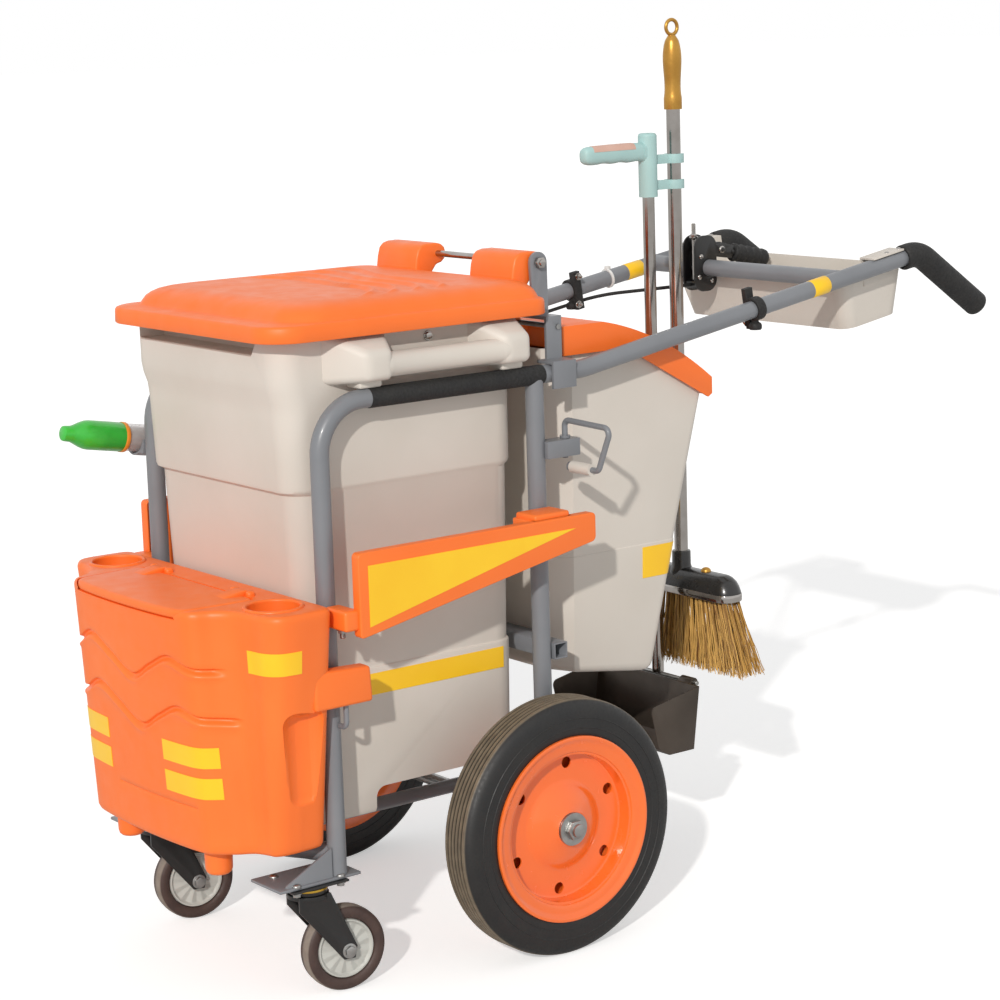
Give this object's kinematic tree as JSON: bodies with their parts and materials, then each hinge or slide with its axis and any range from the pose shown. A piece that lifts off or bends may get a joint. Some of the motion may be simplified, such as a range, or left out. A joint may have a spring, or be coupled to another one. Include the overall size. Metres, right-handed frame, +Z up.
{
  "type": "sanitation cleaning trolley",
  "caption": "Street cleaning trolley with tube frame, large rear wheels, swivel casters, lidded bins, front box, hand tray, brake lever, broom and dustpan.",
  "frame": {"origin": "middle of the bounding box on the floor", "axes": "+Z up, +Y towards the handle end, +X towards the pusher's left"},
  "size_m": [0.714, 1.5652, 1.386],
  "materials": {
    "grey_paint": "satin powder coat",
    "zinc": "zinc plated",
    "grip_rubber": "matte",
    "bin_grey": "moulded, semi-matte",
    "orange_plastic": "moulded, satin",
    "orange_paint": "gloss paint",
    "tyre_black": "solid rubber",
    "black_metal": "gloss black",
    "yellow_zinc": "yellow zinc plated",
    "caster_hub": "moulded",
    "caster_tread": "matte",
    "chrome": "polished",
    "gold": "metallic plastic",
    "head_black": "glossy",
    "bristle": "golden brown strands",
    "pale_blue": "moulded",
    "scoop_sheet": "lacquered sheet",
    "green_pack": "glossy"
  },
  "bodies": {
    "frame": {"left_side_tube": "grey_paint", "right_side_tube": "grey_paint", "rear_posts": "grey_paint", "front_cross_tube": "grey_paint", "lower_rails": "grey_paint", "bridge_bar": "grey_paint", "lid_hinge_rod": "zinc", "axle": "zinc", "axle_brackets": "grey_paint", "caster_mounts": "grey_paint", "rear_cross_bar": "grey_paint", "handle_cross_tube": "grey_paint", "left_grip": "grip_rubber", "right_grip": "grip_rubber", "tool_clamps": "grip_rubber", "tray": "bin_grey", "left_wing": "orange_plastic", "right_wing": "orange_plastic", "box_hooks": "grey_paint", "brake_bracket": "black_metal", "brake_cable": "grip_rubber", "left_caster_head": "yellow_zinc", "right_caster_head": "yellow_zinc", "main_bin": "bin_grey", "rear_bin": "bin_grey", "rear_lid_pin": "zinc", "hook_bracket": "grey_paint", "stick_clip": "head_black", "tool_cradles": "grey_paint"},
    "left_wheel": {"left_tyre": "tyre_black", "left_rim": "orange_paint", "left_hub": "zinc"},
    "right_wheel": {"right_tyre": "tyre_black", "right_rim": "orange_paint", "right_hub": "zinc"},
    "left_caster": {"left_caster_fork": "black_metal"},
    "left_caster_wheel": {"left_caster_hub": "caster_hub", "left_caster_tread": "caster_tread"},
    "right_caster": {"right_caster_fork": "black_metal"},
    "right_caster_wheel": {"right_caster_hub": "caster_hub", "right_caster_tread": "caster_tread"},
    "main_lid": {"main_lid": "orange_plastic"},
    "rear_lid": {"rear_lid": "orange_plastic"},
    "front_box": {"tool_box": "orange_plastic"},
    "box_lid": {"box_lid": "orange_plastic"},
    "brake_lever": {"brake_lever": "black_metal", "brake_grip": "grip_rubber"},
    "brake_button": {"brake_button": "chrome"},
    "brake_arm": {"brake_arm": "black_metal"},
    "hook_loop": {"hook_loop": "grey_paint"},
    "hook_roller": {"hook_roller": "bin_grey"},
    "dustpan": {"pan_stick": "chrome", "pan_handle": "pale_blue", "pan_rod": "zinc"},
    "scoop": {"pan_scoop": "scoop_sheet"},
    "broom": {"broom_stick": "chrome", "broom_grip": "gold", "broom_head": "head_black", "broom_bristles": "bristle"},
    "litter_tool": {"litter_tool": "green_pack"}
  },
  "joints": [
    {"name": "left_wheel_spin", "type": "hinge", "parent": "frame", "child": "left_wheel", "pos_m": [0.307, -0.225, 0.197], "axis": [1, 0, 0], "continuous": true},
    {"name": "left_caster_swivel", "type": "hinge", "parent": "frame", "child": "left_caster", "pos_m": [0.212, -0.618, 0.15], "axis": [0, 0, 1], "continuous": true},
    {"name": "left_caster_roll", "type": "hinge", "parent": "left_caster", "child": "left_caster_wheel", "pos_m": [0.22013, -0.56664, 0.064], "axis": [0.9877, -0.1564, 0], "continuous": true},
    {"name": "right_wheel_spin", "type": "hinge", "parent": "frame", "child": "right_wheel", "pos_m": [-0.307, -0.225, 0.197], "axis": [1, 0, 0], "continuous": true},
    {"name": "right_caster_swivel", "type": "hinge", "parent": "frame", "child": "right_caster", "pos_m": [-0.212, -0.618, 0.15], "axis": [0, 0, 1], "continuous": true},
    {"name": "right_caster_roll", "type": "hinge", "parent": "right_caster", "child": "right_caster_wheel", "pos_m": [-0.20386, -0.56664, 0.064], "axis": [0.9877, -0.1564, 0], "continuous": true},
    {"name": "main_lid_hinge", "type": "hinge", "parent": "frame", "child": "main_lid", "pos_m": [0, -0.14, 1.032], "axis": [-1, 0, 0], "range_deg": [0, 95]},
    {"name": "rear_lid_hinge", "type": "hinge", "parent": "frame", "child": "rear_lid", "pos_m": [0, -0.13, 0.936], "axis": [1, 0, 0], "range_deg": [0, 56]},
    {"name": "box_lift", "type": "slide", "parent": "frame", "child": "front_box", "axis": [0, 0, 1], "range_m": [0, 0.04]},
    {"name": "box_lid_hinge", "type": "hinge", "parent": "front_box", "child": "box_lid", "pos_m": [0, -0.644, 0.595], "axis": [-1, 0, 0], "range_deg": [0, 80]},
    {"name": "brake_lever_pull", "type": "hinge", "parent": "frame", "child": "brake_lever", "pos_m": [-0.105, 0.48, 0.98792], "axis": [1, 0, 0], "range_deg": [0, 35]},
    {"name": "brake_button_push", "type": "slide", "parent": "brake_lever", "child": "brake_button", "axis": [0, -0.9766, 0.2152], "range_m": [0, 0.006], "stiffness_N_per_m": 400},
    {"name": "brake_arm_press", "type": "hinge", "parent": "frame", "child": "brake_arm", "pos_m": [-0.256, -0.19, 0.425], "axis": [1, 0, 0], "range_deg": [0, 4.2]},
    {"name": "hook_swing", "type": "hinge", "parent": "frame", "child": "hook_loop", "pos_m": [0.24, -0.14, 0.757], "axis": [0, 0, 1], "range_deg": [-65, 80]},
    {"name": "roller_spin", "type": "hinge", "parent": "hook_loop", "child": "hook_roller", "pos_m": [0.28, -0.14, 0.728], "axis": [1, 0, 0], "continuous": true},
    {"name": "dustpan_lift", "type": "slide", "parent": "frame", "child": "dustpan", "axis": [0, 0, 1], "range_m": [0, 0.12]},
    {"name": "scoop_swing", "type": "hinge", "parent": "dustpan", "child": "scoop", "pos_m": [0, 0.24, 0.293], "axis": [-1, 0, 0], "range_deg": [0, 35]},
    {"name": "broom_lift", "type": "slide", "parent": "dustpan", "child": "broom", "axis": [0, 0, 1], "range_m": [0, 0.15]},
    {"name": "tool_lift", "type": "slide", "parent": "frame", "child": "litter_tool", "axis": [0, 0, 1], "range_m": [0, 0.06]}
  ],
  "couplings": [
    {"joint": "brake_arm_press", "follows": "brake_lever_pull", "ratio": 0.11429}
  ]
}
